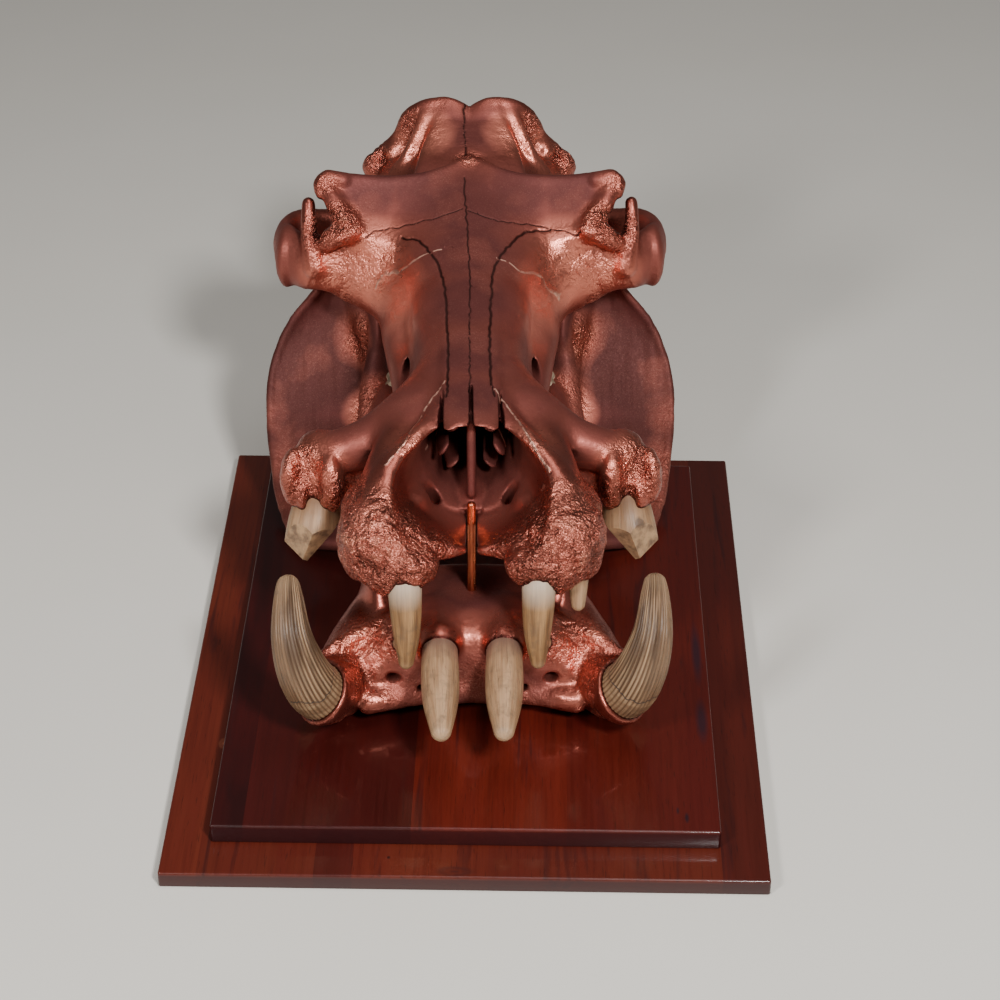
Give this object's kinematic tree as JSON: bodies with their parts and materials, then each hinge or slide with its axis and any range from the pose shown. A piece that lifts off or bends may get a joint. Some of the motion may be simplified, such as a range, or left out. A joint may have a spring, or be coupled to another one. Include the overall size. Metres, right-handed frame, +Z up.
{
  "type": "hippopotamus skull on a wooden plinth",
  "caption": "Hippopotamus skull with bare ivory teeth and copper-painted bone, jaws propped slightly open by a rod, on a stepped wooden plinth.",
  "frame": {"origin": "centre of the plinth's underside", "axes": "+Z up from the surface the plinth stands on; the snout points towards -Y; +X is the animal's left"},
  "size_m": [0.56, 0.8543, 0.4179],
  "materials": {
    "copper_paint": "metallic copper paint on bone, satin on smooth bone and glittering on rough bone",
    "bare_tooth": "dry ivory and enamel, finely ribbed and cracked lengthwise",
    "bright_copper": "orange copper paint, satin",
    "varnished_wood": "red-brown hardwood under glossy varnish"
  },
  "bodies": {
    "root": {"upper_premolar_2_left": "bare_tooth", "upper_premolar_2_right": "bare_tooth", "upper_premolar_3_left": "bare_tooth", "upper_premolar_3_right": "bare_tooth", "upper_premolar_4_left": "bare_tooth", "upper_premolar_4_right": "bare_tooth", "upper_molar_1_left": "bare_tooth", "upper_molar_1_right": "bare_tooth", "upper_molar_2_left": "bare_tooth", "upper_molar_2_right": "bare_tooth", "upper_molar_3_left": "bare_tooth", "upper_molar_3_right": "bare_tooth", "lower_premolar_2_left": "bare_tooth", "lower_premolar_2_right": "bare_tooth", "lower_premolar_3_left": "bare_tooth", "lower_premolar_3_right": "bare_tooth", "lower_premolar_4_left": "bare_tooth", "lower_premolar_4_right": "bare_tooth", "lower_molar_1_left": "bare_tooth", "lower_molar_1_right": "bare_tooth", "lower_molar_2_left": "bare_tooth", "lower_molar_2_right": "bare_tooth", "lower_molar_3_left": "bare_tooth", "lower_molar_3_right": "bare_tooth", "upper_canine_left": "bare_tooth", "upper_canine_right": "bare_tooth", "upper_incisor_1_left": "bare_tooth", "upper_incisor_1_right": "bare_tooth", "lower_canine_left": "bare_tooth", "lower_canine_right": "bare_tooth", "lower_incisor_1_left": "bare_tooth", "lower_incisor_1_right": "bare_tooth", "lower_incisor_2_left": "bare_tooth", "lower_incisor_2_right": "bare_tooth", "upper_incisor_2_left": "bare_tooth", "cranium": "copper_paint", "mandible": "copper_paint", "jaw_prop_rod": "bright_copper", "plinth_lower_board": "varnished_wood", "plinth_upper_board": "varnished_wood"}
  },
  "joints": []
}
